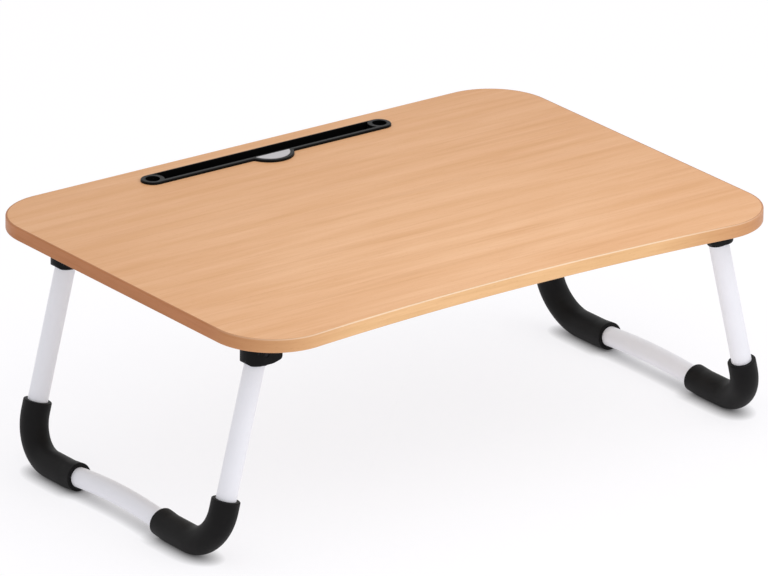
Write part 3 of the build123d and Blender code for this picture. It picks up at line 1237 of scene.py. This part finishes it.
@dataclass
class Hinges:
    """The four screwed brackets under the board, with their pins and screws."""

    board: Board
    pivot_x: float = Leg.pivot_x
    leg_ys: Pair = (Leg.front_y, Leg.rear_y)
    flange: float = 3 * MM
    flange_shift: float = 2 * MM
    screw_pitch: Pair = (49 * MM, 44 * MM)
    head_radius: float = 3.75 * MM
    shank_radius: float = 1.75 * MM
    screw_length: float = 12 * MM
    recess_arm: float = 2.0 * MM
    recess_width: float = 0.9 * MM
    recess_depth: float = 1.5 * MM
    recess_foot: float = 0.6
    head_edge: float = 0.15 * MM
    tip_radius: float = 0.3 * MM
    screw_sides: int = 36
    bracket_round: float = 0.35 * MM
    seed: int = 7

    def cross(self, share: float) -> Outline:
        """The outline of a cross-shaped drive recess.

        Args:
            share: Its size as a share of the recess's mouth.

        Returns:
            Its twelve corners.
        """
        arm = self.recess_arm * share
        half = self.recess_width / 2 * share
        quarter = [(half, half), (half, arm), (-half, arm)]
        corners: Outline = []
        for turn in range(4):
            for x, y in quarter:
                for _ in range(turn):
                    x, y = -y, x
                corners.append((x, y))
        return corners

    def screw(self) -> Object:
        """Make one countersunk screw at the origin, its face down and its shank up.

        Returns:
            The screw.
        """
        shell = Shell()
        edge = self.head_edge
        cone = self.head_radius - self.shank_radius
        profile = [
            (self.head_radius - edge, 0.0),
            (self.head_radius, edge),
            (self.shank_radius, cone + edge),
            (self.shank_radius, self.screw_length - 2 * self.shank_radius),
            (self.tip_radius, self.screw_length),
        ]
        rings = [
            (arc((0, 0), radius, 0, math.tau, self.screw_sides)[:-1], height)
            for radius, height in profile
        ]
        shell.loft(rings)
        shell.plate(rings[-1][0], [], self.screw_length)
        mouth, foot = self.cross(1.0), self.cross(self.recess_foot)
        shell.plate(rings[0][0], [mouth], 0.0)
        shell.loft([(mouth, 0.0), (foot, self.recess_depth)])
        shell.plate(foot, [], self.recess_depth)
        return shell.piece("one_screw", ZINC)

    def build_screws(self) -> None:
        """Set a screw at every hole of the four flanges."""
        low = self.board.height - self.board.thickness - self.flange
        middle = self.pivot_x - self.flange_shift
        along, across = self.screw_pitch[0] / 2, self.screw_pitch[1] / 2
        spots = [
            (side.value * middle + dx, y + dy, low)
            for side, y, dx, dy in product(Side, self.leg_ys, (-along, along), (-across, across))
        ]
        mesh = bpy.data.meshes.new("screw_spots")
        mesh.from_pydata(spots, [], [])
        screw = self.screw()
        values = {"Fastener": screw, "Seed": self.seed, "Material": ZINC.material()}
        piece = run_tree("flange_screws", mesh, scatter_tree(), values, SHARP_COPIED)
        bpy.data.objects.remove(screw)
        stand_for(piece, ZINC, self.board.body, "bracket_screws")

    def build(self) -> None:
        """Make the brackets, pins and screws."""
        for side, end in product(Side, End):
            place, body = f"{end.word}_{side.word}", self.board.body
            refined(f"bracket_{place}", f"{place}_bracket", NYLON, body, self.bracket_round)
            refined(f"hinge_pin_{place}", f"{place}_hinge_pin", BLACK_OXIDE, body)
        self.build_screws()


@dataclass(frozen=True)
class Lamp:
    """A round soft lamp: where it hangs, how wide it is and its power in watts."""

    name: str
    place: Triple
    size: float
    power: float


@dataclass
class Studio:
    """A white sweep of floor, soft lamps and the camera."""

    azimuth: float = math.radians(37.007)
    elevation: float = math.radians(21.075)
    roll: float = math.radians(0.686)
    focal_px: float = 10000.0
    frame_px: tuple[int, int] = (768, 576)
    aim: Triple = (0.0, 0.0, 260 * MM)
    aim_px: Pair = (385.36, 209.79)
    distance: float = 10.6025
    sensor: float = 36.0
    far: float = 100.0
    ambient: float = 0.69
    floor_half: float = 30.0
    floor_white: str = "#F6F5F7"
    # A touch of blue takes back the warm light that the board throws down
    floor_tint: str = "#FDFCFF"
    floor_seen: float = 0.18
    floor_lift: float = 0.885
    floor_glow: float = 0.24
    # Reaches and strength of the painted contact shadow by the feet and the painted shade under the
    # board
    contact_reach: float = 16 * MM
    canopy_reach: float = 400 * MM
    canopy_share: float = 0.15
    lamps: tuple[Lamp, ...] = (
        Lamp("key", (0.7, -0.8, 1.7), 1.2, 5.0),
        Lamp("front", (0.0, -0.9, 0.95), 0.7, 2.3),
    )

    def build_camera(self) -> None:
        """Place the camera where the board's middle falls on its pixel."""
        sin_a, cos_a = math.sin(self.azimuth), math.cos(self.azimuth)
        sin_e, cos_e = math.sin(self.elevation), math.cos(self.elevation)
        ahead = Vector((sin_a * cos_e, cos_a * cos_e, -sin_e))
        level = Vector((cos_a, -sin_a, 0.0))
        down = ahead.cross(level)
        right = level * math.cos(self.roll) - down * math.sin(self.roll)
        down = down * math.cos(self.roll) + level * math.sin(self.roll)
        aside = (self.aim_px[0] - self.frame_px[0] / 2) / self.focal_px
        below = (self.aim_px[1] - self.frame_px[1] / 2) / self.focal_px
        place = Vector(self.aim) - (ahead + right * aside + down * below) * self.distance
        data = bpy.data.cameras.new("photo_camera")
        data.sensor_width = self.sensor
        data.lens = self.focal_px * data.sensor_width / self.frame_px[0]
        data.clip_end = self.far
        camera = bpy.data.objects.new("photo_camera", data)
        turn = Matrix((right, -down, -ahead)).transposed()
        camera.matrix_world = Matrix.Translation(place) @ turn.to_4x4()
        bpy.context.scene.collection.objects.link(camera)
        bpy.context.scene.camera = camera

    def seen(self, tree: NodeTree) -> Source:
        """A socket that is 1 where the background is seen directly, mirrored or through glass.

        Args:
            tree: The tree that takes the nodes.

        Returns:
            The socket.
        """
        rays = add_node(tree, "ShaderNodeLightPath").outputs
        seen = rays["Is Camera Ray"]
        for kind in ("Is Glossy Ray", "Is Transmission Ray"):
            seen = add_node(tree, "ShaderNodeMath", {0: seen, 1: rays[kind]}, operation="MAXIMUM")
        return seen

    def build_world(self) -> None:
        """Make a white room that lights at a plain level."""
        world = bpy.data.worlds.new("white_room")
        tree = bare_tree(world)
        levels = {"Value": self.seen(tree), "To Min": self.ambient, "To Max": 1.0}
        level = add_node(tree, "ShaderNodeMapRange", levels)
        white = {"Color": (1.0, 1.0, 1.0, 1.0), "Strength": level}
        light = add_node(tree, "ShaderNodeBackground", white)
        add_node(tree, "ShaderNodeOutputWorld", {"Surface": light})
        bpy.context.scene.world = world

    def build_floor(self) -> None:
        """Lay a white floor that keeps the table's shadow, partly cast by the lamps and partly
        painted.
        """
        half = self.floor_half
        corners = [(-half, -half, 0), (half, -half, 0), (half, half, 0), (-half, half, 0)]
        mesh = bpy.data.meshes.new("floor")
        mesh.from_pydata(corners, [], [(0, 1, 2, 3)])
        material = bpy.data.materials.new("white_floor")
        tree = bare_tree(material)
        # Seen, the floor is mostly its own white glow, so that only the feet's shadows are dark;
        # ambient occlusion darkens the glow into those shadows, a painted contact shadow by the
        # feet and a faint painted shade under the board
        grey = (self.floor_seen, self.floor_seen, self.floor_seen, 1.0)
        shade = add_node(tree, "ShaderNodeBsdfDiffuse", {"Color": grey})
        painted_feet_shadow, painted_board_shade = (
            add_node(tree, "ShaderNodeAmbientOcclusion", {"Distance": reach}).outputs["AO"]
            for reach in (self.contact_reach, self.canopy_reach)
        )
        dimmest = self.floor_lift * (1 - self.canopy_share)
        levels = {"Value": painted_board_shade, "To Min": dimmest, "To Max": self.floor_lift}
        white = add_node(tree, "ShaderNodeMapRange", levels)
        level = add_node(tree, "ShaderNodeMath", {0: painted_feet_shadow, 1: white}, operation="MULTIPLY")
        lifted = {"Color": linear(self.floor_tint), "Strength": level}
        lift = add_node(tree, "ShaderNodeEmission", lifted)
        shown = add_node(tree, "ShaderNodeAddShader", {0: shade, 1: lift})
        # Unseen, it throws light up as a white floor and a little more
        matt = add_node(tree, "ShaderNodeBsdfDiffuse", {"Color": linear(self.floor_white)})
        glow = add_node(tree, "ShaderNodeEmission", {"Strength": self.floor_glow})
        unseen = add_node(tree, "ShaderNodeAddShader", {0: matt, 1: glow})
        either = add_node(tree, "ShaderNodeMixShader", {0: self.seen(tree), 1: unseen, 2: shown})
        add_node(tree, "ShaderNodeOutputMaterial", {"Surface": either})
        mesh.materials.append(material)
        floor = bpy.data.objects.new("floor", mesh)
        bpy.context.scene.collection.objects.link(floor)

    def build_lamps(self) -> None:
        """Hang the soft lamps, each turned to the board."""
        for lamp in self.lamps:
            data = bpy.data.lights.new(lamp.name, "AREA")
            data.shape = "DISK"
            data.size = lamp.size
            data.energy = lamp.power
            hung = bpy.data.objects.new(lamp.name, data)
            hung.location = lamp.place
            ahead = Vector(self.aim) - Vector(lamp.place)
            hung.rotation_euler = ahead.to_track_quat("-Z", "Y").to_euler()
            bpy.context.scene.collection.objects.link(hung)

    def build(self) -> None:
        """Make the room, its light and the camera."""
        self.build_world()
        self.build_floor()
        self.build_lamps()
        self.build_camera()
        bpy.context.scene.view_settings.view_transform = "Standard"


def main() -> None:
    """Build the table's pieces in order, then the studio."""
    logging.basicConfig(level=logging.INFO, format="%(name)s %(message)s")
    board = Board()
    slot = SlotInsert(board)
    board.build(slot)
    slot.build()
    Hinges(board).build()
    sweep = path_tree()
    for side in Side:
        Leg(side, sweep).build()
    Studio().build()


if __name__ == "__main__":
    main()
